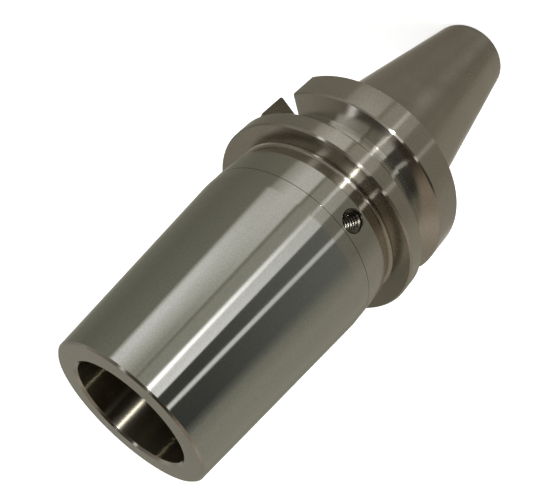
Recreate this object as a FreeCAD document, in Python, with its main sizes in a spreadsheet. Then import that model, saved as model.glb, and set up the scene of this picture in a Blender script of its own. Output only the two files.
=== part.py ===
import FreeCAD, Part

import math
import os

import Sketcher

# Shrink fit tool holder, turned and ground from one piece of hot work steel.
# A 7/24 steep taper of size 40 goes into the spindle, a flange with a V groove is held by the tool
# changer, and the conical nose is heated to let a 32 mm shank in and grips it as it cools.
# The origin is on the axis in the gauge plane of the taper. The nose points up, the taper down, and
# the two drive slots lie on the X axis.

doc = FreeCAD.newDocument("shrink_fit_holder")

# Driving dimensions in millimetres and degrees
driving_sizes = [
    ("gauge_diameter", 44.45, "taper diameter in the gauge plane"),
    ("taper_rise", 7, "taper, change of diameter"),
    ("taper_run", 24, "taper, length of that change"),
    ("taper_length", 65.4, "gauge plane to small end"),
    ("small_end_chamfer", 0.8, "edge of the small end"),
    ("relief_width", 1.5, "grinding relief behind the flange"),
    ("relief_depth", 0.5, "grinding relief below the gauge diameter"),
    ("flange_setback", 2, "gauge plane to rear face of the flange"),
    ("flange_width", 25, "rear face to front face of the flange"),
    ("flange_diameter", 63, "both rims of the flange"),
    ("flange_chamfer", 0.5, "outer edges of the two faces"),
    ("groove_setback", 16.6, "gauge plane to middle of the V groove"),
    ("groove_mouth", 10, "width of the V groove at the rims"),
    ("groove_depth", 5, "rims to floor of the V groove"),
    ("groove_angle", 60, "angle between the two flanks"),
    ("groove_chamfer", 0.3, "edges of the V groove at the rims"),
    ("slot_width", 16.1, "drive slot between its walls"),
    ("slot_depth", 8.9, "rims to floor of a drive slot"),
    ("slot_margin", 1, "end of a drive slot to front edge of the V groove"),
    ("slot_corner", 2.5, "corner radius at the slot's end"),
    ("neck_width", 4.5, "flange to shoulder of the body"),
    ("neck_depth", 1.5, "body to neck"),
    ("neck_fillet", 2, "radius from neck to flange"),
    ("shoulder_chamfer", 0.5, "edge of the body at the neck"),
    ("body_diameter", 53, "cylindrical part of the body"),
    ("balance_thread", 6, "two radial threads for balancing screws, M6"),
    ("balance_chamfer", 0.35, "countersink of the radial threads"),
    ("balance_depth", 8, "depth of the radial threads"),
    ("balance_land", 0.4, "cylinder left above and below the radial threads"),
    ("line_width", 0.3, "turned line at the surface"),
    ("line_depth", 0.15, "turned line below the surface"),
    ("foot_land", 4, "turned line to foot of the cone"),
    ("nose_diameter", 44, "cone at the front face"),
    ("nose_chamfer", 0.5, "outer edge of the front face"),
    ("gauge_length", 100, "gauge plane to front face"),
    ("tool_bore", 32, "bore that grips the shank"),
    ("tool_bore_depth", 60, "front face to floor of the bore"),
    ("tool_bore_chamfer", 0.6, "mouth of the bore"),
    ("stop_thread", 16, "thread for a stop screw, M16x1"),
    ("stop_thread_depth", 25, "floor of the bore to end of that thread"),
    ("stop_thread_chamfer", 0.6, "mouth of that thread"),
    ("coolant_duct", 8, "duct between the two axial threads"),
    ("drill_point", 118, "point angle of the drills"),
    ("knob_thread", 16, "thread for a retention knob, M16"),
    ("knob_thread_depth", 36, "small end to end of that thread"),
    ("knob_pilot", 17, "centring bore in front of that thread"),
    ("knob_pilot_depth", 5, "depth of the centring bore"),
    ("knob_pilot_chamfer", 0.5, "mouth of the centring bore"),
]

sheet = doc.addObject("Spreadsheet::Sheet", "sizes")
for row, (alias, value, note) in enumerate(driving_sizes, start=1):
    sheet.set(f"A{row}", note)
    sheet.set(f"B{row}", str(value))
    sheet.setAlias(f"B{row}", alias)
doc.recompute()

# Radii, as expressions on the sheet
axis = "0"
gauge_radius = "sizes.gauge_diameter / 2"
small_end_radius = f"{gauge_radius} - sizes.taper_length * sizes.taper_rise / sizes.taper_run / 2"
relief_radius = f"{gauge_radius} - sizes.relief_depth"
flange_radius = "sizes.flange_diameter / 2"
groove_floor_radius = f"{flange_radius} - sizes.groove_depth"
body_radius = "sizes.body_diameter / 2"
neck_radius = f"{body_radius} - sizes.neck_depth"
nose_radius = "sizes.nose_diameter / 2"
bore_radius = "sizes.tool_bore / 2"
stop_thread_radius = "sizes.stop_thread / 2"
duct_radius = "sizes.coolant_duct / 2"
knob_thread_radius = "sizes.knob_thread / 2"
knob_pilot_radius = "sizes.knob_pilot / 2"
balance_mouth_radius = "(sizes.balance_thread / 2 + sizes.balance_chamfer)"

# Heights along the axis, stacked up from the gauge plane
gauge_plane = "0"
small_end = "-sizes.taper_length"
knob_pilot_end = f"{small_end} + sizes.knob_pilot_depth"
knob_thread_end = f"{small_end} + sizes.knob_thread_depth"
flange_rear = "sizes.flange_setback"
relief_start = f"{flange_rear} - sizes.relief_width"
groove_middle = "sizes.groove_setback"
slot_end = f"{groove_middle} + sizes.groove_mouth / 2 - sizes.slot_margin"
flange_front = f"{flange_rear} + sizes.flange_width"
neck_top = f"{flange_front} + sizes.neck_width"
balance_foot = f"{neck_top} + sizes.shoulder_chamfer + sizes.balance_land"
balance_height = f"{balance_foot} + {balance_mouth_radius}"
line_height = f"{balance_height} + {balance_mouth_radius} + sizes.balance_land + sizes.line_width / 2"
cone_foot = f"{line_height} + sizes.line_width / 2 + sizes.foot_land"
nose_face = "sizes.gauge_length"
bore_floor = f"{nose_face} - sizes.tool_bore_depth"
stop_thread_end = f"{bore_floor} - sizes.stop_thread_depth"


def value_of(expression):
    # number that an expression on the sheet gives now
    return float(sheet.evalExpression(expression))


def same(number, expression):
    # whether a measured number is the expression's, within a thousandth
    return abs(number - value_of(expression)) < 0.001


def origin_part(body, role):
    # plane or axis of the body's own origin
    for feature in body.Origin.OriginFeatures:
        if feature.Role == role:
            return feature
    raise ValueError(role)


def add_sketch(body, name, plane, setback=None):
    # sketch on one of the body's own planes, or at a distance from it
    sketch = body.newObject("Sketcher::SketchObject", name)
    sketch.AttachmentSupport = (origin_part(body, plane), [""])
    sketch.MapMode = "FlatFace"
    sketch.Visibility = False
    if setback:
        sketch.setExpression("AttachmentOffset.Base.z", setback)
    return sketch


def bind(sketch, kind, *place, to):
    # constraint whose value is an expression on the sheet
    number = sketch.addConstraint(Sketcher.Constraint(kind, *place, value_of(to)))
    sketch.setExpression(f"Constraints[{number}]", to)


def hold_point(sketch, line, kind, expression, zero_axis):
    # one coordinate of a line's start, on the sketch's own axis where it is zero
    if expression == "0":
        sketch.addConstraint(Sketcher.Constraint("PointOnObject", line, 1, zero_axis))
    else:
        bind(sketch, kind, -1, 1, line, 1, to=expression)


def half_section(body, name, corners):
    # closed outline of straight edges beside the axis, with every corner held by two expressions
    sketch = add_sketch(body, name, "XZ_Plane")
    points = [FreeCAD.Vector(value_of(radius), value_of(height), 0) for radius, height in corners]
    for index, point in enumerate(points):
        sketch.addGeometry(Part.LineSegment(point, points[(index + 1) % len(points)]), False)
    for index in range(len(points)):
        following = (index + 1) % len(points)
        sketch.addConstraint(Sketcher.Constraint("Coincident", index, 2, following, 1))
    for index, (radius, height) in enumerate(corners):
        hold_point(sketch, index, "DistanceX", radius, -2)
        hold_point(sketch, index, "DistanceY", height, -1)
    return sketch


def turn(body, kind, name, sketch):
    # revolve a half section all the way round the holder's axis
    feature = body.newObject(kind, name)
    feature.Profile = sketch
    feature.ReferenceAxis = (sketch, ["V_Axis"])
    feature.Angle = 360
    doc.recompute()
    return feature


def repeat_opposite(body, feature, name):
    # the same cut again on the far side of the axis
    pattern = body.newObject("PartDesign::PolarPattern", name)
    pattern.Originals = [feature]
    pattern.Axis = (origin_part(body, "Z_Axis"), [""])
    pattern.Angle = 360
    pattern.Occurrences = 2
    body.Tip = pattern
    doc.recompute()
    return pattern


def ring_edges(feature, radius, height):
    # names of the round edges at a radius and height
    names = []
    for number, edge in enumerate(feature.Shape.Edges, start=1):
        curve = edge.Curve
        if isinstance(curve, Part.Circle) and same(curve.Radius, radius) and same(curve.Center.z, height):
            names.append(f"Edge{number}")
    if not names:
        raise ValueError(f"no edge at radius {radius} and height {height}")
    return names


def turn_blank(body):
    # outside of the holder: taper, relief, flange, neck, body and nose
    corners = [
        (axis, small_end),
        (small_end_radius, small_end),
        (gauge_radius, gauge_plane),
        (gauge_radius, relief_start),
        (relief_radius, relief_start),
        (relief_radius, flange_rear),
        (flange_radius, flange_rear),
        (flange_radius, flange_front),
        (neck_radius, flange_front),
        (neck_radius, neck_top),
        (body_radius, neck_top),
        (body_radius, cone_foot),
        (nose_radius, nose_face),
        (axis, nose_face),
    ]
    outline = half_section(body, "blank_outline", corners)
    return turn(body, "PartDesign::Revolution", "turned_blank", outline)


def cut_gripper_groove(body):
    # V groove between the rims, with a flat floor and broken edges
    flank_slope = "tan(sizes.groove_angle / 2)"
    half_floor = f"(sizes.groove_mouth / 2 - sizes.groove_depth * {flank_slope})"
    half_break = f"(sizes.groove_mouth / 2 - sizes.groove_chamfer * {flank_slope})"
    half_edge = "(sizes.groove_mouth / 2 + sizes.groove_chamfer)"
    break_radius = f"{flange_radius} - sizes.groove_chamfer"
    corners = [
        (flange_radius, f"{groove_middle} + {half_edge}"),
        (break_radius, f"{groove_middle} + {half_break}"),
        (groove_floor_radius, f"{groove_middle} + {half_floor}"),
        (groove_floor_radius, f"{groove_middle} - {half_floor}"),
        (break_radius, f"{groove_middle} - {half_break}"),
        (flange_radius, f"{groove_middle} - {half_edge}"),
    ]
    outline = half_section(body, "groove_outline", corners)
    return turn(body, "PartDesign::Groove", "gripper_groove", outline)


def cut_axial_bores(body):
    # tool bore, stop thread, coolant duct, knob thread and its centring bore on one axis
    point_slope = "tan(sizes.drill_point / 2)"
    stop_point = f"({stop_thread_radius} - {duct_radius}) / {point_slope}"
    knob_point = f"({knob_thread_radius} - {duct_radius}) / {point_slope}"
    corners = [
        (axis, nose_face),
        (bore_radius, nose_face),
        (bore_radius, bore_floor),
        (stop_thread_radius, bore_floor),
        (stop_thread_radius, stop_thread_end),
        (duct_radius, f"{stop_thread_end} - {stop_point}"),
        (duct_radius, f"{knob_thread_end} + {knob_point}"),
        (knob_thread_radius, knob_thread_end),
        (knob_thread_radius, f"{knob_pilot_end} + {knob_pilot_radius} - {knob_thread_radius}"),
        (knob_pilot_radius, knob_pilot_end),
        (knob_pilot_radius, small_end),
        (axis, small_end),
    ]
    outline = half_section(body, "bore_outline", corners)
    return turn(body, "PartDesign::Groove", "axial_bores", outline)


def cut_turned_line(body):
    # fine V line round the body, close to the level of the bore's floor
    corners = [
        (f"{body_radius} - sizes.line_depth", line_height),
        (f"{body_radius} + sizes.line_depth", f"{line_height} + sizes.line_width"),
        (f"{body_radius} + sizes.line_depth", f"{line_height} - sizes.line_width"),
    ]
    outline = half_section(body, "line_outline", corners)
    return turn(body, "PartDesign::Groove", "turned_line", outline)


def break_turned_edges(body, feature):
    # the neck's radius and the 45 degree chamfers on the turned edges
    fillet = body.newObject("PartDesign::Fillet", "neck_radius")
    fillet.Base = (feature, ring_edges(feature, neck_radius, flange_front))
    fillet.setExpression("Radius", "sizes.neck_fillet")
    doc.recompute()

    chamfers = [
        ("small_end_edge", small_end_radius, small_end, "sizes.small_end_chamfer"),
        ("flange_rear_edge", flange_radius, flange_rear, "sizes.flange_chamfer"),
        ("flange_front_edge", flange_radius, flange_front, "sizes.flange_chamfer"),
        ("shoulder_edge", body_radius, neck_top, "sizes.shoulder_chamfer"),
        ("nose_edge", nose_radius, nose_face, "sizes.nose_chamfer"),
        ("bore_mouth", bore_radius, nose_face, "sizes.tool_bore_chamfer"),
        ("stop_thread_mouth", stop_thread_radius, bore_floor, "sizes.stop_thread_chamfer"),
        ("knob_pilot_mouth", knob_pilot_radius, small_end, "sizes.knob_pilot_chamfer"),
    ]
    feature = fillet
    for name, radius, height, size in chamfers:
        chamfer = body.newObject("PartDesign::Chamfer", name)
        chamfer.Base = (feature, ring_edges(feature, radius, height))
        chamfer.setExpression("Size", size)
        doc.recompute()
        feature = chamfer
    return feature


def slot_outline(body):
    # drive slot seen along its depth: square at the rear face, with two round corners at its end
    sketch = add_sketch(body, "slot_outline", "YZ_Plane", f"{flange_radius} - sizes.slot_depth")
    side = value_of("sizes.slot_width / 2")
    low = value_of(flange_rear)
    high = value_of(slot_end)
    bend = value_of("sizes.slot_corner")
    vector = FreeCAD.Vector
    outline = [
        vector(-side, low, 0),
        vector(side, low, 0),
        vector(side, high - bend, 0),
        vector(side - bend, high, 0),
        vector(bend - side, high, 0),
        vector(-side, high - bend, 0),
    ]
    right_bend = Part.Circle(vector(side - bend, high - bend, 0), vector(0, 0, 1), bend)
    left_bend = Part.Circle(vector(bend - side, high - bend, 0), vector(0, 0, 1), bend)
    rear, right, right_corner, end, left_corner, left = range(6)
    sketch.addGeometry(Part.LineSegment(outline[0], outline[1]), False)
    sketch.addGeometry(Part.LineSegment(outline[1], outline[2]), False)
    sketch.addGeometry(Part.ArcOfCircle(right_bend, 0, math.pi / 2), False)
    sketch.addGeometry(Part.LineSegment(outline[3], outline[4]), False)
    sketch.addGeometry(Part.ArcOfCircle(left_bend, math.pi / 2, math.pi), False)
    sketch.addGeometry(Part.LineSegment(outline[5], outline[0]), False)

    relations = [
        ("Coincident", rear, 2, right, 1),
        ("Coincident", left, 2, rear, 1),
        ("Tangent", right, 2, right_corner, 1),
        ("Tangent", right_corner, 2, end, 1),
        ("Tangent", end, 2, left_corner, 1),
        ("Tangent", left_corner, 2, left, 1),
        ("Horizontal", rear),
        ("Horizontal", end),
        ("Vertical", right),
        ("Vertical", left),
        ("Equal", right_corner, left_corner),
    ]
    for relation in relations:
        sketch.addConstraint(Sketcher.Constraint(*relation))
    bind(sketch, "DistanceX", -1, 1, right, 1, to="sizes.slot_width / 2")
    bind(sketch, "DistanceX", -1, 1, rear, 1, to="-sizes.slot_width / 2")
    bind(sketch, "DistanceY", -1, 1, rear, 1, to=flange_rear)
    bind(sketch, "DistanceY", -1, 1, end, 1, to=slot_end)
    bind(sketch, "Radius", right_corner, to="sizes.slot_corner")
    return sketch


def mill_drive_slots(body):
    # two flat-floored slots through the rear rim and the V groove, up to the front rim
    pocket = body.newObject("PartDesign::Pocket", "drive_slot")
    pocket.Profile = slot_outline(body)
    pocket.Type = "ThroughAll"
    pocket.Reversed = True
    doc.recompute()
    return repeat_opposite(body, pocket, "drive_slots")


def drill_balance_threads(body):
    # two blind radial threads, square to the drive slots
    sketch = add_sketch(body, "balance_centre", "XZ_Plane", body_radius)
    radius = "sizes.balance_thread / 2"
    centre = FreeCAD.Vector(0, value_of(balance_height), 0)
    sketch.addGeometry(Part.Circle(centre, FreeCAD.Vector(0, 0, 1), value_of(radius)), False)
    sketch.addConstraint(Sketcher.Constraint("PointOnObject", 0, 3, -2))
    bind(sketch, "DistanceY", -1, 1, 0, 3, to=balance_height)
    bind(sketch, "Radius", 0, to=radius)
    doc.recompute()

    hole = body.newObject("PartDesign::Hole", "balance_thread")
    hole.Profile = sketch
    doc.recompute()
    hole.ThreadType = "None"
    hole.DepthType = "Dimension"
    hole.DrillPoint = "Angled"
    hole.HoleCutType = "Countersink"
    hole.HoleCutCountersinkAngle = 90
    hole.setExpression("Diameter", "sizes.balance_thread")
    hole.setExpression("Depth", "sizes.balance_depth")
    hole.setExpression("DrillPointAngle", "sizes.drill_point")
    hole.setExpression("HoleCutDiameter", f"2 * {balance_mouth_radius}")
    doc.recompute()
    return repeat_opposite(body, hole, "balance_threads")


def make_holder():
    # the whole holder, in the order in which it is machined
    body = doc.addObject("PartDesign::Body", "holder_body")
    body.Label = "holder_body"
    body.Placement = FreeCAD.Placement()
    turn_blank(body)
    cut_gripper_groove(body)
    bored = cut_axial_bores(body)
    break_turned_edges(body, bored)
    cut_turned_line(body)
    mill_drive_slots(body)
    drill_balance_threads(body)
    doc.recompute()
    return body


def check_document():
    # stop on a failed feature, and on one that changes nothing
    for item in doc.Objects:
        if "Invalid" in item.State or "Error" in item.State:
            raise RuntimeError(f"{item.Name} failed: {item.State}")
    volume = 0
    for item in doc.Objects:
        if not item.isDerivedFrom("PartDesign::Feature"):
            continue
        if abs(item.Shape.Volume - volume) < 0.01:
            raise RuntimeError(f"{item.Name} changes nothing")
        volume = item.Shape.Volume
        print(f"{item.Name:20s} {volume:12.2f} mm3")


def export_part(body):
    # one valid solid, written under the name of its node
    shape = body.Shape
    if shape.isNull() or not shape.isValid() or len(shape.Solids) != 1:
        raise RuntimeError(f"{body.Label} isn't one valid solid")
    os.makedirs("parts", exist_ok=True)
    shape.exportStep(f"parts/{body.Label}.step")
    box = shape.BoundBox
    print(f"{body.Label}: {box.XLength:.2f} x {box.YLength:.2f} x {box.ZLength:.2f} mm")


holder = make_holder()
check_document()
export_part(holder)
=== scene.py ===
import math
import bpy
import numpy as np
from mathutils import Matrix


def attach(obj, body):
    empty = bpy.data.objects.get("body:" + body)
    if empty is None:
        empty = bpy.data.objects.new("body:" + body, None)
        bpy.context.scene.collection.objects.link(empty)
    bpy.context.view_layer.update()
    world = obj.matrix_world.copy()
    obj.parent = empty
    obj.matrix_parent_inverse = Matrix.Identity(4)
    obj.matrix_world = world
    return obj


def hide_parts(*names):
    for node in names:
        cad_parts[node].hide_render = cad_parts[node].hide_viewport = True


# Shrink fit tool holder standing on the small end of its taper, seen from above the nose
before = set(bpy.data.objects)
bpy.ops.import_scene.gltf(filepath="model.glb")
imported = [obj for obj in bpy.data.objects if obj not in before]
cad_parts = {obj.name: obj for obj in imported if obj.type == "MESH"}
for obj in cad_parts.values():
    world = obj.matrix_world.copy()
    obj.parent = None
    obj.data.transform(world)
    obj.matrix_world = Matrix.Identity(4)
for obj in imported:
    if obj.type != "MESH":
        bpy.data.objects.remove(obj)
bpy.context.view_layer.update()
mm = 0.001
um = 0.001 * mm
print("frame loaded,", len(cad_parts), "node")


# small helpers

def linearColour(hexCode):
    # sRGB hex to linear: each channel goes through the sRGB curve, alpha is 1
    channels = [int(hexCode[i:i + 2], 16) / 255 for i in (1, 3, 5)]
    return [c / 12.92 if c <= 0.04045 else ((c + 0.055) / 1.055) ** 2.4 for c in channels] + [1]


def addNode(tree, kind, settings=None, **inputs):
    # one node; a setting is an attribute, an input is a plain value or another node's output socket.
    # Inputs called at0, at1 and at2 go by their number, for nodes whose inputs share one name
    node = tree.nodes.new(kind)
    for name, value in (settings or {}).items():
        setattr(node, name, value)
    for name, value in inputs.items():
        socket = node.inputs[int(name[2:])] if name.startswith("at") else node.inputs[name.replace("_", " ")]
        if isinstance(value, bpy.types.NodeSocket):
            tree.links.new(value, socket)
        else:
            socket.default_value = value
    return node


def calculate(tree, operation, *terms):
    # one Math node with its terms in order; gives the result's socket
    inputs = {f"at{number}": term for number, term in enumerate(terms)}
    return addNode(tree, "ShaderNodeMath", {"operation": operation}, **inputs).outputs[0]


def emptyMaterial(name):
    material = bpy.data.materials.new(name)
    material.use_nodes = True
    material.node_tree.nodes.clear()
    return material


def newMesh(name, points, faces):
    # mesh object at the origin from an n x 3 array in metres and a list of each face's corner numbers
    mesh = bpy.data.meshes.new(name)
    mesh.from_pydata(points.tolist(), [], faces)
    item = bpy.data.objects.new(name, mesh)
    bpy.context.scene.collection.objects.link(item)
    return item


def gridFaces(rows, columns, closed=False):
    # quads between neighbouring rows and columns; the columns close into a ring, the rows only if asked
    row, column = np.meshgrid(np.arange(rows if closed else rows - 1), np.arange(columns), indexing="ij")
    nextRow, nextColumn = (row + 1) % rows, (column + 1) % columns
    faces = np.stack([row * columns + column, row * columns + nextColumn,
                      nextRow * columns + nextColumn, nextRow * columns + column], -1)
    return faces.reshape(-1, 4)


# steel finishes, one for each way of cutting

# light and dark are the ends of the tone. Smudge is how far the roughness wanders, lay is how much the
# cutting marks stretch a highlight, ringMm is their spacing, and ringUm and grainUm are bump heights
holderFinishes = dict(
    # taper: satin, with a soft edge to every reflection
    groundTaper=dict(light="#c9c6be", dark="#b7b4ac", roughness=0.22, smudge=0.04, lay=0.8,
                     ringMm=0.60, ringUm=0.8, grainUm=0.5),
    # rims of the flange: sharper and a little brighter than the taper
    groundRim=dict(light="#cac7c1", dark="#b8b5ae", roughness=0.12, smudge=0.02, lay=0.8,
                   ringMm=0.60, ringUm=0.8, grainUm=0.4),
    # groove floor, edges and chamfers: near mirror, with fine rings
    turnedFlange=dict(light="#cac7c1", dark="#b8b5ae", roughness=0.11, smudge=0.02, lay=1.0,
                      ringMm=0.60, ringUm=0.8, grainUm=0.4),
    # sides of the V groove and back of the flange: the same, with rings wide apart
    turnedFlank=dict(light="#cac7c1", dark="#b8b5ae", roughness=0.11, smudge=0.02, lay=1.0,
                     ringMm=1.40, ringUm=0.8, grainUm=0.0),
    # front of the flange and neck, with the turned radius between them: smooth, with faint wide rings; its
    # tone is a little darker than the turned runs, as painted shade in that corner
    facedFlangePaintedShade=dict(light="#c8c4bb", dark="#b0aca3", roughness=0.14, smudge=0.02, lay=1.0,
                     ringMm=1.40, ringUm=0.8, grainUm=0.0),
    # nose and body: the sharpest reflections, a touch cooler than the rest
    groundNose=dict(light="#cac9c5", dark="#bab9b5", roughness=0.10, smudge=0.015, lay=1.0,
                    ringMm=0.60, ringUm=0.6, grainUm=0.5),
    # end of the nose: even and dull, with no lay
    groundFace=dict(light="#c8c5be", dark="#b4b1aa", roughness=0.24, smudge=0.04, lay=0.0,
                    ringMm=0.60, ringUm=0.8, grainUm=0.6),
    # bore: dark wall that shows one long narrow glint
    honedBore=dict(light="#aaa594", dark="#908b7b", roughness=0.21, smudge=0.01, lay=1.0,
                   ringMm=0.60, ringUm=0.6, grainUm=0.3),
    # holes, threads and turned line: colour darkened as painted shade, so that they read as depth
    drilledPaintedShade=dict(light="#7c786f", dark="#4c4a44", roughness=0.20, smudge=0.04, lay=0.0,
                       ringMm=0.60, ringUm=2.0, grainUm=1.0),
    # drive slots: coarse, dull and brownish
    milledSlot=dict(light="#968f83", dark="#746e64", roughness=0.27, smudge=0.06, lay=0.0,
                    ringMm=0.60, ringUm=3.0, grainUm=1.0),
)


steelMarks = dict(
    # in mm: how far a streak runs round the axis, and how wide a smudge and a grain are
    streak=9, smudge=14, grain=0.45,
    radiusPace=1.37,  # how fast rings go by along the radius, against 1 along the axis
    grainShare=0.6, streakShare=0.2, smudgeShare=0.2,  # of the tone
    noiseSpan=(0.3, 0.7),  # nearly all of a noise lies between these
)


def steelFinish(name, look):
    # hot work steel cut in a lathe or grinder: marks run round the axis, so a streak is long around
    # and fine along it. The eye gets sharp reflections across and a faint fuzz along the holder.
    marks = steelMarks
    low, high = marks["noiseSpan"]
    material = emptyMaterial(name)
    tree = material.node_tree
    place = addNode(tree, "ShaderNodeTexCoord").outputs["Object"]
    split = addNode(tree, "ShaderNodeSeparateXYZ", Vector=place)
    flat = addNode(tree, "ShaderNodeVectorMath", {"operation": "MULTIPLY"}, at0=place, at1=(1, 1, 0))
    radius = addNode(tree, "ShaderNodeVectorMath", {"operation": "LENGTH"}, at0=flat.outputs[0])
    # one number that grows along the axis on a wall and along the radius on a face
    along = calculate(tree, "MULTIPLY_ADD", radius.outputs["Value"], marks["radiusPace"], split.outputs["Z"])
    streakScale = 1 / (marks["streak"] * mm)
    streakPlace = addNode(tree, "ShaderNodeCombineXYZ",
                          X=calculate(tree, "MULTIPLY", split.outputs["X"], streakScale),
                          Y=calculate(tree, "MULTIPLY", split.outputs["Y"], streakScale),
                          Z=calculate(tree, "MULTIPLY", along, 1 / (look["ringMm"] * mm)))
    rings = addNode(tree, "ShaderNodeTexNoise", Vector=streakPlace.outputs[0], Scale=1.0, Detail=2.0,
                    Roughness=0.6)
    smudges = addNode(tree, "ShaderNodeTexNoise", Vector=place, Scale=1 / (marks["smudge"] * mm), Detail=3.0,
                      Roughness=0.55)
    # the tone is mostly fine grain, with a little of the streaks and smudges
    grain = addNode(tree, "ShaderNodeTexNoise", Vector=place, Scale=1 / (marks["grain"] * mm), Detail=1.0)
    speckle = addNode(tree, "ShaderNodeMapRange", Value=grain.outputs["Fac"], From_Min=low, From_Max=high,
                      To_Min=0.0, To_Max=marks["grainShare"])
    streaky = calculate(tree, "MULTIPLY_ADD", rings.outputs["Fac"], marks["streakShare"], speckle.outputs[0])
    tone = calculate(tree, "MULTIPLY_ADD", smudges.outputs["Fac"], marks["smudgeShare"], streaky)
    colour = addNode(tree, "ShaderNodeMix", {"data_type": "RGBA"}, Factor=tone,
                     A=linearColour(look["dark"]), B=linearColour(look["light"]))
    gloss = addNode(tree, "ShaderNodeMapRange", Value=smudges.outputs["Fac"], From_Min=low, From_Max=high,
                    To_Min=look["roughness"] - look["smudge"], To_Max=look["roughness"] + look["smudge"])
    ringBump = addNode(tree, "ShaderNodeBump", Strength=1.0, Distance=look["ringUm"] * um,
                       Height=rings.outputs["Fac"])
    bump = addNode(tree, "ShaderNodeBump", Strength=1.0, Distance=look["grainUm"] * um,
                   Height=grain.outputs["Fac"], Normal=ringBump.outputs[0])
    tangent = addNode(tree, "ShaderNodeTangent", {"direction_type": "RADIAL", "axis": "Z"})
    # a quarter turn lays the stretched highlight across the marks
    shader = addNode(tree, "ShaderNodeBsdfPrincipled", Base_Color=colour.outputs["Result"], Metallic=1.0,
                     Roughness=gloss.outputs[0], Normal=bump.outputs[0], Anisotropic=look["lay"],
                     Anisotropic_Rotation=0.25, Tangent=tangent.outputs[0])
    addNode(tree, "ShaderNodeOutputMaterial", Surface=shader.outputs[0])
    return material


finishNames = list(holderFinishes)
finishes = [steelFinish(name, look) for name, look in holderFinishes.items()]
print("steel finishes made")


# the holder: one profile turned about the axis, then milled and drilled

holderSizes = dict(
    # radius and height in mm, from the small end up the outside and down the bores; the third entry is
    # the finish of the run that follows
    profile=[
        (9.0, -65.4, "turnedFlange"), (11.888, -65.4, "turnedFlange"), (12.803, -64.608, "groundTaper"),
        (22.225, 0, "groundTaper"), (22.225, 0.5, "turnedFlange"), (21.725, 0.5, "turnedFlange"),
        (21.725, 2, "turnedFlank"), (31, 2, "turnedFlange"), (31.5, 2.5, "groundRim"),
        (31.5, 11.3, "turnedFlange"), (31.2, 11.773, "turnedFlank"), (26.5, 14.487, "turnedFlange"),
        (26.5, 18.713, "turnedFlank"), (31.2, 21.427, "turnedFlange"), (31.5, 21.9, "groundRim"),
        # front face, turned radius and neck take the flange finish whose darker tone is painted shade
        (31.5, 26.5, "turnedFlange"), (31, 27, "facedFlangePaintedShade"), (25, 27, "facedFlangePaintedShade"),
        (25, 31.5, "turnedFlange"), (26, 31.5, "groundNose"), (26.5, 32, "groundNose"),
        # the turned line here and the inner bores below take the drilled finish, whose darkened colour is
        # painted shade
        (26.5, 39.60, "drilledPaintedShade"), (26.43, 39.615, "drilledPaintedShade"), (26.5, 39.73, "groundNose"),
        (26.5, 43.8, "groundNose"), (22.04, 99.502, "groundNose"), (21.5, 100, "groundFace"),
        (16.6, 100, "groundNose"), (16, 99.4, "honedBore"), (16, 40, "drilledPaintedShade"),
        (8.6, 40, "drilledPaintedShade"), (8, 39.4, "drilledPaintedShade"), (8, 15, "drilledPaintedShade"),
        (4, 12.597, "drilledPaintedShade"), (4, -26.997, "drilledPaintedShade"), (8, -29.4, "drilledPaintedShade"),
        (8, -59.9, "drilledPaintedShade"), (8.5, -60.4, "drilledPaintedShade"), (8.5, -64.9, "turnedFlange"),
    ],
    neckCorner=17,  # the corner with the turned radius, counted from 0
    neckRadius=1.2,
    edgeRadius=0.09,  # every other corner is rounded by the stone or the file this much
    footTurn=0.12,  # a corner that turns less than this, in radians, is a blend of its own length
    footLength=0.8,
    mostReach=0.42,  # share of the shorter run that a corner may take up
    edgeSteps=3,
    neckSteps=12,
    around=288,
)


def roundedProfile(sizes):
    # closed outline with each corner as an arc: the arc touches both runs at radius * tan(turn / 2) from
    # the corner, and the normal turns evenly along it. Gives point, normal and finish of each row.
    corners = np.array([entry[:2] for entry in sizes["profile"]], float)
    names = [entry[2] for entry in sizes["profile"]]
    count = len(corners)
    runs = np.roll(corners, -1, 0) - corners
    lengths = np.hypot(runs[:, 0], runs[:, 1])
    headings = np.arctan2(runs[:, 1], runs[:, 0])
    points, normals, kinds = [], [], []
    for i in range(count):
        before, after = headings[i - 1], headings[i]
        turn = (after - before + math.pi) % (2 * math.pi) - math.pi
        steps = sizes["neckSteps"] if i == sizes["neckCorner"] else sizes["edgeSteps"]
        bend = sizes["neckRadius"] if i == sizes["neckCorner"] else sizes["edgeRadius"]
        reach = bend * math.tan(abs(turn) / 2)
        if abs(turn) < sizes["footTurn"]:
            reach = sizes["footLength"] / 2
            bend = reach / math.tan(abs(turn) / 2)
        limit = sizes["mostReach"] * min(lengths[i - 1], lengths[i])
        if reach > limit:
            bend *= limit / reach
            reach = limit
        start = corners[i] - reach * np.array([math.cos(before), math.sin(before)])
        side = math.copysign(1, turn)
        centre = start + side * bend * np.array([-math.sin(before), math.cos(before)])
        heading = before + turn * np.linspace(0, 1, steps + 1)
        arc = centre + side * bend * np.stack([np.sin(heading), -np.cos(heading)], 1)
        points.append(arc)
        normals.append(np.stack([np.sin(heading), -np.cos(heading)], 1))
        kinds += [names[i]] * (steps + 1)
    return np.concatenate(points), np.concatenate(normals), kinds


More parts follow.
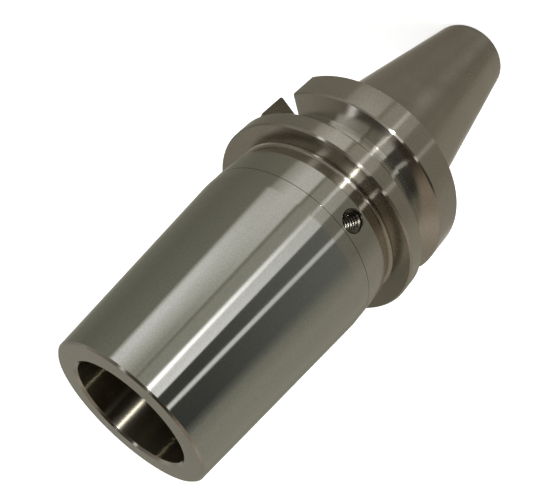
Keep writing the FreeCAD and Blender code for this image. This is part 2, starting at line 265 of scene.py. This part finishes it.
def turnedBody(name, points, normals, kinds, around):
    # surface of revolution: (r, z) at angle a goes to (r cos a, r sin a, z). Its profile normal is kept
    # in a UV map, which the cuts carry over to their new corners.
    angle = np.arange(around) * 2 * math.pi / around
    radius, height = points[:, 0, None] * mm, points[:, 1, None] * mm
    place = np.stack([radius * np.cos(angle), radius * np.sin(angle), height + 0 * angle], -1).reshape(-1, 3)
    body = newMesh(name, place, gridFaces(len(points), around, closed=True).tolist())
    mesh = body.data
    for finish in finishes:
        mesh.materials.append(finish)
    kindNumbers = np.array([finishNames.index(kind) for kind in kinds])
    mesh.polygons.foreach_set("material_index", np.repeat(kindNumbers, around).astype(np.int32))
    slopes = mesh.uv_layers.new(name="profileNormal")
    corner = np.empty(len(mesh.loops), np.int32)
    mesh.loops.foreach_get("vertex_index", corner)
    slopes.data.foreach_set("uv", normals[corner // around].astype(np.float32).ravel())
    return body


def cutFrom(body, cutter):
    # takes the cutter's volume out of the body and keeps the cutter's finish on the new faces
    step = body.modifiers.new("cut", "BOOLEAN")
    step.operation = "DIFFERENCE"
    step.solver = "EXACT"
    step.material_mode = "INDEX"
    step.object = cutter
    bpy.context.view_layer.update()
    graph = bpy.context.evaluated_depsgraph_get()
    mesh = bpy.data.meshes.new_from_object(body.evaluated_get(graph), preserve_all_data_layers=True,
                                           depsgraph=graph)
    old = body.data
    body.modifiers.clear()
    body.data = mesh
    bpy.data.meshes.remove(old)
    bpy.data.objects.remove(cutter)


slotSizes = dict(width=16.1, floor=22.6, outside=36, rear=1, end=20.6, corner=2.5, steps=8)
holeSizes = dict(height=35.75, radius=3, mouthDepth=26.15, floor=18.5, tip=16.697, outside=28, around=96)


def slotCutter(side):
    # prism along X: the outline in the YZ plane has two quarter circles at its upper corners
    s = slotSizes
    turn = np.linspace(0, math.pi / 2, s["steps"] + 1)
    half, inner = s["width"] / 2, s["width"] / 2 - s["corner"]
    high = s["end"] - s["corner"]
    right = np.stack([inner + s["corner"] * np.cos(turn), high + s["corner"] * np.sin(turn)], 1)
    left = np.stack([-right[::-1, 0], right[::-1, 1]], 1)
    outline = np.concatenate([[[half, s["rear"]]], right, left, [[-half, s["rear"]]]])
    count = len(outline)
    near = np.column_stack([np.full(count, side * s["floor"]), outline]) * mm
    far = np.column_stack([np.full(count, side * s["outside"]), outline]) * mm
    walls = [[i, (i + 1) % count, count + (i + 1) % count, count + i] for i in range(count)]
    caps = [list(range(count))[::-1], list(range(count, 2 * count))]
    faces = walls + caps if side > 0 else [face[::-1] for face in walls + caps]
    cutter = newMesh("slotCutter", np.concatenate([near, far]), faces)
    cutter.data.polygons.foreach_set("material_index", [finishNames.index("milledSlot")] * len(faces))
    return cutter


def holeCutter(side):
    # drill with a 45 degree countersink, turned about an axis along Y: rows of (r, distance from the
    # holder's axis), closed by the drill's tip and by a flat outside the body
    s = holeSizes
    flare = s["outside"] - s["mouthDepth"]
    rows = np.array([(s["radius"], s["floor"]), (s["radius"], s["mouthDepth"]),
                     (s["radius"] + flare, s["outside"])])
    around = s["around"]
    angle = np.arange(around) * 2 * math.pi / around
    ring, rise = rows[:, :1] * np.cos(angle), rows[:, :1] * np.sin(angle)
    depth = rows[:, 1:] + 0 * angle
    place = np.stack([ring, side * depth, s["height"] + rise], -1).reshape(-1, 3)
    ends = np.array([[0, side * s["tip"], s["height"]], [0, side * s["outside"], s["height"]]])
    tip, top = len(rows) * around, len(rows) * around + 1
    step = np.arange(around)
    after = (step + 1) % around
    floorFan = np.stack([step, np.full(around, tip), after], 1)
    lastRow = (len(rows) - 1) * around
    topFan = np.stack([lastRow + step, lastRow + after, np.full(around, top)], 1)
    faces = gridFaces(len(rows), around).tolist() + floorFan.tolist() + topFan.tolist()
    if side > 0:
        faces = [face[::-1] for face in faces]
    cutter = newMesh("holeCutter", np.concatenate([place, ends]) * mm, faces)
    # the hole's walls take the drilled finish, darkened as painted shade inside the hole
    cutter.data.polygons.foreach_set("material_index", [finishNames.index("drilledPaintedShade")] * len(faces))
    return cutter


def shadeSmooth(body):
    # normals worked out for each face corner: on turned faces the carried profile normal, swung to the
    # corner's own angle; round the hole's axis in the radial holes; the face's own normal on flat cuts
    mesh = body.data
    loops, faces = len(mesh.loops), len(mesh.polygons)
    tiny = 1e-6  # keeps the divisions below from meeting a zero
    place = np.empty(len(mesh.vertices) * 3)
    mesh.vertices.foreach_get("co", place)
    place = place.reshape(-1, 3) / mm
    corner = np.empty(loops, np.int32)
    mesh.loops.foreach_get("vertex_index", corner)
    count, normal, kind = np.empty(faces, np.int32), np.empty(faces * 3), np.empty(faces, np.int32)
    mesh.polygons.foreach_get("loop_total", count)
    mesh.polygons.foreach_get("normal", normal)
    mesh.polygons.foreach_get("material_index", kind)
    slope = np.empty(loops * 2, np.float32)
    mesh.uv_layers["profileNormal"].data.foreach_get("uv", slope)
    slope = slope.reshape(-1, 2)
    size = np.hypot(slope[:, 0], slope[:, 1])
    faceNormal = np.repeat(normal.reshape(-1, 3), count, 0)
    where = place[corner]
    result = faceNormal.copy()
    turned = size > 0.5  # 1 where a profile normal was carried over, 0 on a cut
    swing = np.arctan2(where[:, 1], where[:, 0])
    radial = slope[:, 0] / np.maximum(size, tiny)
    turnedNormal = np.stack([radial * np.cos(swing), radial * np.sin(swing),
                             slope[:, 1] / np.maximum(size, tiny)], 1)
    result[turned] = turnedNormal[turned]
    # radial holes: keep the face's slope along Y and point the rest at the hole's axis
    drilled = ~turned & (np.repeat(kind, count) == finishNames.index("drilledPaintedShade"))
    across = np.stack([where[:, 0], where[:, 2] - holeSizes["height"]], 1)
    across /= np.maximum(np.hypot(across[:, 0], across[:, 1])[:, None], tiny)
    lean = np.clip(np.abs(faceNormal[:, 1]), 0, 1)
    inward = np.sqrt(1 - lean ** 2)
    holeNormal = np.stack([-inward * across[:, 0], faceNormal[:, 1], -inward * across[:, 1]], 1)
    wall = drilled & (lean < 0.9)  # leaves out what faces along the hole
    result[wall] = holeNormal[wall]
    mesh.polygons.foreach_set("use_smooth", [True] * faces)
    mesh.normals_split_custom_set(result.tolist())
    mesh.update()


points, normals, kinds = roundedProfile(holderSizes)
holder = turnedBody("shrinkHolder", points, normals, kinds, holderSizes["around"])
for side in (1, -1):
    cutFrom(holder, slotCutter(side))
    cutFrom(holder, holeCutter(side))
holder.data.name = "shrinkHolder"
shadeSmooth(holder)
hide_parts("holder_body")
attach(holder, "root")
print("holder turned, milled and drilled:", len(holder.data.polygons), "faces")


# thread ridges inside the holes

threadSizes = dict(
    balanceThreadFront=dict(radius=3, pitch=1, start=19.4, end=25.9, side=-1, steps=40),
    balanceThreadBack=dict(radius=3, pitch=1, start=19.4, end=25.9, side=1, steps=40),
    stopThread=dict(radius=8, pitch=1, start=16.2, end=38.9, side=0, steps=64),
    knobThread=dict(radius=8, pitch=2, start=-58.9, end=-31.2, side=0, steps=64),
)

threadForm = dict(
    # ISO ridge, 60 degrees, in pitches: half widths at the crest and at the wall, and the crest's height
    crestHalf=0.125, wallHalf=0.4375, crest=0.5413,
    sunk=0.02,  # mm, the foot stands this deep in the wall
    fadeTurns=0.5, least=0.03,  # both ends fade over half a turn, down to this share
)


def threadRidge(name, sizes):
    # ridge swept along a helix: at turn t its section sits at start + pitch * t along the axis and at
    # 2 pi t round it
    form = threadForm
    pitch = sizes["pitch"]
    turns = (sizes["end"] - sizes["start"]) / pitch
    count = int(turns * sizes["steps"])
    t = np.linspace(0, turns, count)
    fade = np.clip(np.minimum(t, turns - t) / form["fadeTurns"], form["least"], 1)
    foot, crest = form["wallHalf"] * pitch * fade, form["crestHalf"] * pitch * fade
    across = np.stack([-foot, -crest, crest, foot], 1)
    rise, sunk = form["crest"] * pitch * fade, np.full(count, -form["sunk"])
    radius = sizes["radius"] - np.stack([sunk, rise, rise, sunk], 1)
    angle = (2 * math.pi * t)[:, None]
    height = sizes["start"] + pitch * t[:, None] + across
    x, y = radius * np.cos(angle), radius * np.sin(angle)
    if sizes["side"]:
        # lies along Y; the x swap keeps the thread right-handed on both sides
        place = np.stack([-sizes["side"] * x, sizes["side"] * height, holeSizes["height"] + y], -1)
    else:
        place = np.stack([x, y, height], -1)
    faces = gridFaces(count, 4).tolist() + [[3, 2, 1, 0]] + [[(count - 1) * 4 + k for k in range(4)]]
    ridge = newMesh(name, place.reshape(-1, 3) * mm, faces)
    # threads take the drilled finish, darkened as painted shade inside the holes
    ridge.data.materials.append(finishes[finishNames.index("drilledPaintedShade")])
    return ridge


for name, sizes in threadSizes.items():
    ridge = threadRidge(name, sizes)
    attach(ridge, "root")
print("threads cut:", len(threadSizes))


# studio: pale floor, soft light, and the shop around it that only the polished steel shows

studio = dict(
    # lengths in mm
    floorHeight=-65.4, floorHalf=4000, floorColour="#f2f2f0", floorGlow=0.62,
    roomLight=0.5, roomSeen=1.0,  # the white room, where it only lights and where it is seen
    cardRadius=3000, cardCentre=20, cardColumns=64, cardRows=33,
    cameraBearing=-74.5,  # bearings below are counted clockwise from here; all angles in degrees
    # dim walls of the shop: (elevation, brightness)
    walls=[(-64, 0.18), (-50, 0.25), (-34, 0.21), (-12, 0.22), (14, 0.29), (40, 0.28), (60, 0.18)],
    # windows, cards and dark openings in front of the walls, each over the ones before it. Every one
    # has its bearings, its elevations, how wide its left, right, lower and upper edges fade, and its
    # brightness; a bearing past 180 is behind the holder.
    cards=dict(
        paperBehind=dict(bearing=(150, 208), elevation=(-90, -39), fade=(34, 26, 2, 4), level=0.78),
        wallBehind=dict(bearing=(160, 206), elevation=(-39, 24), fade=(24, 24, 4, 16), level=0.33),
        doorBehind=dict(bearing=(160, 180), elevation=(28, 90), fade=(30, 14, 16, 2), level=0.12),
        backLeft=dict(bearing=(202, 232), elevation=(28, 43), fade=(12, 24, 14, 8), level=0.50),
        rightWall=dict(bearing=(76, 146), elevation=(-46, 90), fade=(26, 26, 20, 2), level=0.33),
        rightPane=dict(bearing=(72, 150), elevation=(31, 43), fade=(24, 30, 14, 10), level=0.45),
        rightCeiling=dict(bearing=(96, 146), elevation=(48, 90), fade=(40, 40, 10, 2), level=0.25),
        rightBench=dict(bearing=(66, 150), elevation=(-90, -50), fade=(20, 30, 2, 12), level=0.32),
        leftRecess=dict(bearing=(-130, -86), elevation=(-40, 30), fade=(40, 34, 12, 12), level=0.18),
        leftWindow=dict(bearing=(-62.5, -23.5), elevation=(-46, 0), fade=(3, 2.5, 8, 10), level=0.36),
        upperPane=dict(bearing=(-60, -40), elevation=(-24, -2), fade=(5, 22, 12, 8), level=0.92),
        lowerPane=dict(bearing=(-52, -24.5), elevation=(-42, -18), fade=(20, 3, 6, 12), level=0.72),
        frontWall=dict(bearing=(-21, 10.4), elevation=(-54, 46), fade=(4, 2, 6, 12), level=0.36),
        frontWindow=dict(bearing=(-4, 10.4), elevation=(-32, 46), fade=(10, 2, 14, 12), level=0.75),
        frontPane=dict(bearing=(1, 10.4), elevation=(-17, 2), fade=(12, 2, 12, 12), level=1.1),
        frontSkylight=dict(bearing=(-12, 10.4), elevation=(32, 43), fade=(12, 2, 14, 8), level=1.2),
        darkScreen=dict(bearing=(10.6, 64), elevation=(-20, 28), fade=(1.6, 14, 20, 12), level=0.06),
        darkCeiling=dict(bearing=(10.6, 72), elevation=(42, 90), fade=(2, 24, 10, 2), level=0.04),
        leftCeiling=dict(bearing=(-78, -20), elevation=(46, 90), fade=(6, 14, 16, 2), level=0.065),
    ),
    # three lamp tubes, the last one crossing the ceiling: bearing at eye level and its drift per degree
    # up or down, half width of the bright core and of the whole, then (elevation, brightness)
    tubes=[
        dict(bearing=-4.3, drift=0.0, core=0.9, half=3.2,
             levels=[(-50, 0), (-38, 0.6), (-35, 0.08), (-26, 0.1), (-9, 1.5), (14, 1.8), (38, 1.6),
                     (52, 0.8), (70, 0.4)]),
        dict(bearing=25.7, drift=0.185, core=1.3, half=3.4,
             levels=[(-60, 0), (-36, 0.23), (-9, 0.95), (14, 0.5), (38, 1.4), (52, 0.1), (70, 0)]),
        dict(bearing=-8, drift=-1.04, core=2.5, half=7, levels=[(30, 0), (40, 0.9), (68, 0.9), (82, 0)]),
    ],
    # dim things in the shop are warm, most of all the ceiling, and more so on the right: (elevation, colour)
    warmth=[(-60, "#fff1d2"), (-38, "#fff7d6"), (-15, "#ffffde"), (20, "#fff8de"), (50, "#ffeed4")],
    # two more tints, each growing from the first distance to the second from its middle bearing: tan on
    # the right, whose share also grows with the elevation, and the cool screen that the dark band on the
    # nose shows, between a lower and an upper edge
    tan="#ffe0b4", tanMiddle=90, tanReach=(75, 40), tanRise=(-10, 40), tanShare=(0.1, 0.9),
    screen="#f8fff0", screenMiddle=36, screenReach=(42, 22), screenLow=(-34, -24), screenHigh=(8, -2),
    bright="#ffffff",
)


def ramp(tree, position, stops):
    # straight interpolation between (place from 0 to 1, colour)
    node = addNode(tree, "ShaderNodeValToRGB", Fac=position)
    elements = node.color_ramp.elements
    while len(elements) < len(stops):
        elements.new(0.5)
    for element, (place, colour) in zip(elements, stops):
        element.position = place
        element.color = colour
    return node.outputs["Color"]


def grey(level):
    # colour of a plain brightness
    return (level, level, level, 1)


def surroundingsFinish(look):
    # what hangs round the holder: its brightness and tint follow the bearing and the elevation
    material = emptyMaterial("shopSurroundings")
    tree = material.node_tree

    def run(value, low, high, toLow=0.0, toHigh=1.0):
        # straight run between two values, level beyond them
        return addNode(tree, "ShaderNodeMapRange", Value=value, From_Min=low, From_Max=high, To_Min=toLow,
                       To_Max=toHigh).outputs[0]

    def covered(value, span, lowFade, highFade):
        # 1 between the two ends of the span, each edge fading over its own width
        rise = run(value, span[0] - lowFade / 2, span[0] + lowFade / 2)
        fall = run(value, span[1] + highFade / 2, span[1] - highFade / 2)
        return calculate(tree, "MULTIPLY", rise, fall)

    def distance(value, middle):
        # how far a value is from the middle, either way
        return calculate(tree, "ABSOLUTE", calculate(tree, "SUBTRACT", value, middle))

    def byElevation(pairs, colour):
        # ramp over (elevation, value), with -90 to 90 degrees as its 0 to 1
        return ramp(tree, height, [((level + 90) / 180, colour(value)) for level, value in pairs])

    def tinted(share, base, code):
        # the base colour with a share of the hex colour mixed in
        return addNode(tree, "ShaderNodeMix", {"data_type": "RGBA"}, Factor=share, A=base,
                       B=linearColour(code)).outputs["Result"]

    place = addNode(tree, "ShaderNodeTexCoord").outputs["Object"]
    centred = addNode(tree, "ShaderNodeVectorMath", {"operation": "SUBTRACT"}, at0=place,
                      at1=(0, 0, look["cardCentre"] * mm))
    way = addNode(tree, "ShaderNodeVectorMath", {"operation": "NORMALIZE"}, at0=centred.outputs[0])
    turned = addNode(tree, "ShaderNodeVectorRotate", {"rotation_type": "Z_AXIS"}, Vector=way.outputs[0],
                     Angle=math.radians(-look["cameraBearing"]))
    split = addNode(tree, "ShaderNodeSeparateXYZ", Vector=turned.outputs[0])
    angle = calculate(tree, "ARCTAN2", split.outputs["Y"], split.outputs["X"])
    bearing = calculate(tree, "MULTIPLY", angle, -math.degrees(1))
    elevation = calculate(tree, "MULTIPLY", calculate(tree, "ARCSINE", split.outputs["Z"]), math.degrees(1))
    behind = calculate(tree, "WRAP", bearing, 360, 0)
    height = run(elevation, -90, 90)

    glow = byElevation(look["walls"], grey)
    for card in look["cards"].values():
        left, right, lower, upper = card["fade"]
        sideways = covered(behind if card["bearing"][1] > 180 else bearing, card["bearing"], left, right)
        share = calculate(tree, "MULTIPLY", sideways, covered(elevation, card["elevation"], lower, upper))
        glow = addNode(tree, "ShaderNodeMix", {"data_type": "FLOAT"}, Factor=share, A=glow,
                       B=card["level"]).outputs["Result"]
    # tubes: bright within the core, gone at the half width
    steep = calculate(tree, "ABSOLUTE", elevation)
    for tube in look["tubes"]:
        middle = calculate(tree, "MULTIPLY_ADD", steep, tube["drift"], tube["bearing"])
        beam = run(distance(bearing, middle), tube["core"], tube["half"], 1.0, 0.0)
        glow = calculate(tree, "MULTIPLY_ADD", beam, byElevation(tube["levels"], grey), glow)

    tanWide = run(distance(bearing, look["tanMiddle"]), *look["tanReach"])
    tanTall = run(elevation, *look["tanRise"], *look["tanShare"])
    screenWide = run(distance(bearing, look["screenMiddle"]), *look["screenReach"])
    screenTall = calculate(tree, "MULTIPLY", run(elevation, *look["screenLow"]),
                           run(elevation, *look["screenHigh"]))
    tint = byElevation(look["warmth"], linearColour)
    tint = tinted(calculate(tree, "MULTIPLY", tanWide, tanTall), tint, look["tan"])
    tint = tinted(calculate(tree, "MULTIPLY", screenWide, screenTall), tint, look["screen"])
    tint = tinted(glow, tint, look["bright"])
    shine = addNode(tree, "ShaderNodeEmission", Color=tint, Strength=glow)
    addNode(tree, "ShaderNodeOutputMaterial", Surface=shine.outputs[0])
    return material


def surroundings(look):
    # sphere seen from inside: longitude u and latitude v, with the poles as small closed rings
    columns, rows, radius = look["cardColumns"], look["cardRows"], look["cardRadius"]
    pole = math.pi / 2 - 1e-3
    u = np.arange(columns) * 2 * math.pi / columns
    v = np.linspace(-pole, pole, rows)[:, None]
    place = np.stack([radius * np.cos(v) * np.cos(u), radius * np.cos(v) * np.sin(u),
                      look["cardCentre"] + radius * np.sin(v) + 0 * u], -1).reshape(-1, 3)
    shell = newMesh("shopSurroundings", place * mm, gridFaces(rows, columns)[:, ::-1].tolist())
    shell.data.materials.append(surroundingsFinish(look))
    shell.visible_camera = False
    shell.visible_diffuse = False
    shell.visible_shadow = False


def paleFloor(look):
    # painted board, lit to a plain white and a little brighter than it is lit, as paper on a light table
    material = emptyMaterial("whiteBoard")
    tree = material.node_tree
    shader = addNode(tree, "ShaderNodeBsdfPrincipled", Base_Color=linearColour(look["floorColour"]),
                     Roughness=0.9, Emission_Color=linearColour(look["bright"]),
                     Emission_Strength=look["floorGlow"])
    addNode(tree, "ShaderNodeOutputMaterial", Surface=shader.outputs[0])
    half, level = look["floorHalf"], look["floorHeight"]
    place = np.array([(-half, -half, level), (half, -half, level), (half, half, level), (-half, half, level)])
    board = newMesh("whiteBoard", place * mm, [[0, 1, 2, 3]])
    board.data.materials.append(material)
    board.visible_glossy = False


def paleRoom(look):
    # even white all round, dimmer where it only lights than where it is seen
    world = bpy.data.worlds.new("paleRoom")
    bpy.context.scene.world = world
    world.use_nodes = True
    tree = world.node_tree
    tree.nodes.clear()
    path = addNode(tree, "ShaderNodeLightPath")
    seen = calculate(tree, "MAXIMUM", path.outputs["Is Camera Ray"], path.outputs["Is Glossy Ray"])
    seen = calculate(tree, "MAXIMUM", seen, path.outputs["Is Transmission Ray"])
    strength = addNode(tree, "ShaderNodeMapRange", Value=seen, To_Min=look["roomLight"],
                       To_Max=look["roomSeen"])
    room = addNode(tree, "ShaderNodeBackground", Color=linearColour(look["bright"]),
                   Strength=strength.outputs[0])
    addNode(tree, "ShaderNodeOutputWorld", Surface=room.outputs[0])


lampLooks = dict(
    # mm and watts; bearing and elevation are the cards', counted from the aim
    softKey=dict(bearing=60.5, elevation=51.84, distance=1144.6, aim=(0, 0, 0), width=900, tall=900, power=9),
    stripLamp=dict(bearing=-2.5, elevation=18, distance=1600, aim=(0, 0, 95), width=16, tall=170, power=17),
)


def softLamp(name, look):
    # soft box that faces its aim, its width level. It stands at the aim plus the distance times
    # (cos e cos a, cos e sin a, sin e), with e the elevation and a the camera's bearing less its own
    lamp = bpy.data.lights.new(name, "AREA")
    lamp.shape = "RECTANGLE"
    lamp.size = look["width"] * mm
    lamp.size_y = look["tall"] * mm
    lamp.energy = look["power"]
    item = bpy.data.objects.new(name, lamp)
    bpy.context.scene.collection.objects.link(item)
    rise, angle = math.radians(look["elevation"]), math.radians(studio["cameraBearing"] - look["bearing"])
    way = np.array([math.cos(rise) * math.cos(angle), math.cos(rise) * math.sin(angle), math.sin(rise)])
    item.location = ((np.array(look["aim"]) + look["distance"] * way) * mm).tolist()
    item.rotation_euler = (math.pi / 2 - rise, 0, angle + math.pi / 2)
    return item


surroundings(studio)
paleFloor(studio)
paleRoom(studio)
softKey, strip = [softLamp(name, look) for name, look in lampLooks.items()]
softKey.visible_glossy = False
# narrow strip over the camera that only the metal shows: its glint runs down the honed bore
strip.visible_diffuse = False
print("studio lit")


# camera at the photograph's place, rolled as the photograph is

cameraLook = dict(place=(47.735, -170.151, 149.473), turn=(-49.652, 35.9726, -137.981), lens=50.126,
                  sensor=36, clipStart=5)
camera = bpy.data.cameras.new("camera")
camera.sensor_width = cameraLook["sensor"]
camera.lens = cameraLook["lens"]
camera.clip_start = cameraLook["clipStart"] * mm
cameraItem = bpy.data.objects.new("camera", camera)
bpy.context.scene.collection.objects.link(cameraItem)
cameraItem.location = [value * mm for value in cameraLook["place"]]
cameraItem.rotation_euler = [math.radians(value) for value in cameraLook["turn"]]
bpy.context.scene.camera = cameraItem
bpy.context.scene.view_settings.view_transform = "Standard"
